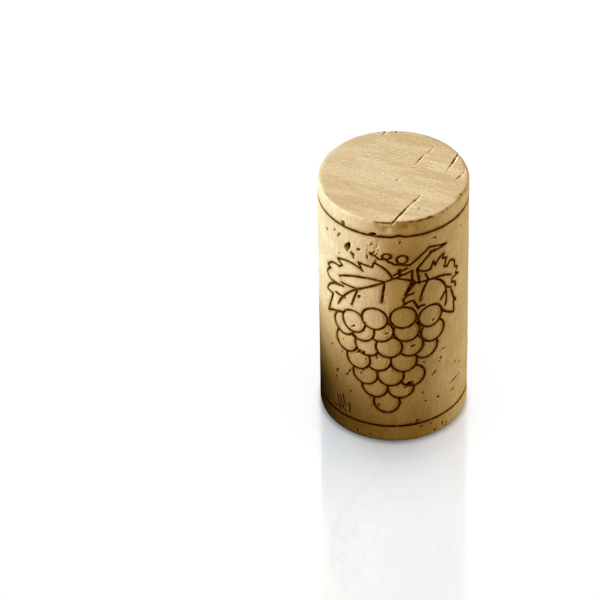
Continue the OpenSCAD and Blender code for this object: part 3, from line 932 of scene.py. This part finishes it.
def floor_material():
    """White gloss table. It glows white and mirrors the cork, most of all close to the foot.
    There it also lies in shade: a dark line at the foot, and a soft shade in front of it and
    behind it that is deepest at the middle. Away from the foot on the left, the mirror is
    stronger and warmer. The glow leaves out what the mirror adds of white, so that the rest
    stays white. To other light the table is dark, so that little bounces up."""
    material = bpy.data.materials.new("white_table")
    material.use_nodes = True
    material.node_tree.nodes.clear()
    n = Nodes(material.node_tree)
    shown = n.shown()
    place = n.add("ShaderNodeSeparateXYZ")
    n.join(n.stretched((1, 1, 1)), place.inputs[0])
    around = n.add("ShaderNodeAmbientOcclusion", samples=8)
    around.inputs["Distance"].default_value = 20 * MM
    closeness = n.math("MULTIPLY", n.math("SUBTRACT", 1.0, around.outputs["AO"]), 2.0)
    contact = n.add("ShaderNodeAmbientOcclusion", samples=8)
    contact.inputs["Distance"].default_value = 1.2 * MM

    # the mirror's share and tint
    left = n.math("MULTIPLY", n.spread(place.outputs["X"], -3.0, -12.0),
                  n.spread(closeness, 0.3, 0.0))
    sides = n.math("ADD", n.math("MULTIPLY", left, 0.16),
                   n.spread(place.outputs["X"], 2.0, 12.0, 0.0, 0.04))
    mirrored = n.math("ADD", n.math("MULTIPLY", closeness, 0.38), 0.14)
    mirrored = n.math("MULTIPLY", n.math("ADD", mirrored, sides), shown)
    tint = n.mix(closeness, (1.0, 0.79, 0.66, 1), (1.0, 0.965, 0.94, 1))
    tint = n.mix(left, tint, (1.0, 0.6, 0.42, 1))
    matt = n.add("ShaderNodeBsdfDiffuse")
    matt.inputs["Color"].default_value = (0.05, 0.035, 0.02, 1)
    gloss = n.add("ShaderNodeBsdfGlossy")
    n.join(n.spread(closeness, 0.3, 0.8, 0.075, 0.3), gloss.inputs["Roughness"])
    n.join(tint, gloss.inputs["Color"])
    both = n.add("ShaderNodeMixShader")
    n.join(mirrored, both.inputs[0])
    n.join(matt.outputs[0], both.inputs[1])
    n.join(gloss.outputs[0], both.inputs[2])

    # the glow, with its shade
    taken = n.mix(mirrored, (0, 0, 0, 1), tint)
    in_front = n.spread(n.math("ABSOLUTE", place.outputs["X"]), 0.0, 8.0, 0.29, 0.07)
    shade = n.math("MULTIPLY", n.spread(closeness, 0.3, 0.8), in_front)
    lit = n.math("MULTIPLY", n.spread(contact.outputs["AO"], 0.5, 0.95, 0.6, 1.0),
                 n.math("SUBTRACT", 1.0, shade))
    glow = n.add("ShaderNodeEmission")
    n.join(n.mix(1.0, (1, 1, 1, 1), taken, "SUBTRACT"), glow.inputs["Color"])
    n.join(n.math("MULTIPLY", shown, lit), glow.inputs["Strength"])
    total = n.add("ShaderNodeAddShader")
    n.join(both.outputs[0], total.inputs[0])
    n.join(glow.outputs[0], total.inputs[1])
    output = n.add("ShaderNodeOutputMaterial")
    n.join(total.outputs[0], output.inputs[0])
    return material


# ---------------------------------------------------------------- the piece
def link(name, mesh, material):
    """An object of the mesh, with its one material, at the origin of the scene."""
    piece = bpy.data.objects.new(name, mesh)
    mesh.materials.append(material)
    bpy.context.scene.collection.objects.link(piece)
    return piece


cork_finish = cork_material()
cork = link("cork_body", cork_mesh(), cork_finish)
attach(cork, "root")
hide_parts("cork")
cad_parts["cork"].data.materials.clear()
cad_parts["cork"].data.materials.append(cork_finish)


# ---------------------------------------------------------------- stage, light and camera
def make_floor():
    """The table: one square that reaches far past the view, in metres."""
    half = 3.0
    mesh = bpy.data.meshes.new("table")
    mesh.from_pydata([(-half, -half, 0), (half, -half, 0), (half, half, 0), (-half, half, 0)],
                     [], [(0, 1, 2, 3)])
    link("table", mesh, floor_material())


OPEN, GRIDDED = 180, 3                   # how far a lamp's light spreads, in degrees


def make_world():
    """White where it is seen, and a dim warm fill for all other light."""
    world = bpy.data.worlds.new("studio")
    world.use_nodes = True
    world.node_tree.nodes.clear()
    n = Nodes(world.node_tree)
    back = n.add("ShaderNodeBackground")
    n.join(n.mix(n.shown(), (0.03, 0.02, 0.01, 1), (1, 1, 1, 1)), back.inputs["Color"])
    output = n.add("ShaderNodeOutputWorld")
    n.join(back.outputs[0], output.inputs[0])
    bpy.context.scene.world = world


def make_lamp(name, turn, climb, distance, aim, size, level, colour, spread=OPEN):
    """A square lamp, at a turn round from the front and a climb above its aim, in degrees. Its
    level is how bright it shows a white surface that faces it at the aim. An open lamp's power
    counts there as spread over a disc whose radius is the distance, and the power of a lamp
    behind a grid as a beam of the lamp's own size."""
    lamp = bpy.data.lights.new(name, "AREA")
    lamp.size = size * MM
    lit_area = math.pi * distance ** 2 if spread == OPEN else size ** 2
    lamp.energy = level * math.pi * lit_area * MM ** 2
    lamp.color = colour
    lamp.spread = math.radians(spread)
    holder = bpy.data.objects.new(name, lamp)
    turn, climb = math.radians(turn), math.radians(climb)
    way = Vector((math.sin(turn) * math.cos(climb), -math.cos(turn) * math.cos(climb),
                  math.sin(climb)))
    holder.location = (Vector(aim) + way * distance) * MM
    holder.rotation_euler = way.to_track_quat("Z", "Y").to_euler()
    holder.visible_camera = False
    holder.visible_glossy = False
    bpy.context.scene.collection.objects.link(holder)


def make_camera():
    """A long lens that looks down on the cork from the front. It is turned so that the cork's
    middle falls to the right of the view's middle and a little above it."""
    distance = 0.74                                      # from the middle of the cork, in metres
    climb = math.radians(39.0)
    lens = 277.776
    right_of_middle, above_middle = 5.607, 0.7782        # on the sensor, in millimetres
    back = Vector((0, -math.cos(climb), math.sin(climb)))
    right = Vector((1, 0, 0))
    up = back.cross(right)
    aim = (back * lens + right * right_of_middle + up * above_middle).normalized()
    side = (right - aim * right.dot(aim)).normalized()
    facing = Matrix((side, aim.cross(side), aim)).transposed()
    place = Vector((0, 0, CORK_L / 2 * MM)) + back * distance
    data = bpy.data.cameras.new("camera")
    data.sensor_width = 36
    data.lens = lens
    data.clip_start = 0.01
    camera = bpy.data.objects.new("camera", data)
    camera.matrix_world = Matrix.Translation(place) @ facing.to_4x4()
    bpy.context.scene.collection.objects.link(camera)
    bpy.context.scene.camera = camera


make_floor()
make_world()
# The key light is three beams from the left that stop short of the foot. The cool one stops
# first, so the light turns warm towards its end.
make_lamp("key_upper", -92, 25, 450, (0, 0, 50), 60, 1.0, (0.3, 1.03, 2.45), GRIDDED)
make_lamp("key_lower_front", -76, 25, 450, (0, 0, 45), 60, 1.0, (0.67, 0.535, 0.36), GRIDDED)
make_lamp("key_lower_back", -92, 25, 450, (0, 0, 45), 60, 1.0, (0.68, 0.47, 0.06), GRIDDED)
make_lamp("edge_right", 110, 6, 450, (0, 0, 20), 150, 1.0, (0.77, 0.78, 0.77))
make_lamp("fill_front", 16, 25, 300, (0, 0, 24), 120, 1.0, (0.38, 0.302, 0.155))
make_lamp("back", 180, 42, 450, (0, 0, 25), 220, 0.1, (1.0, 1.0, 1.0))
make_camera()
bpy.context.scene.view_settings.view_transform = "Standard"
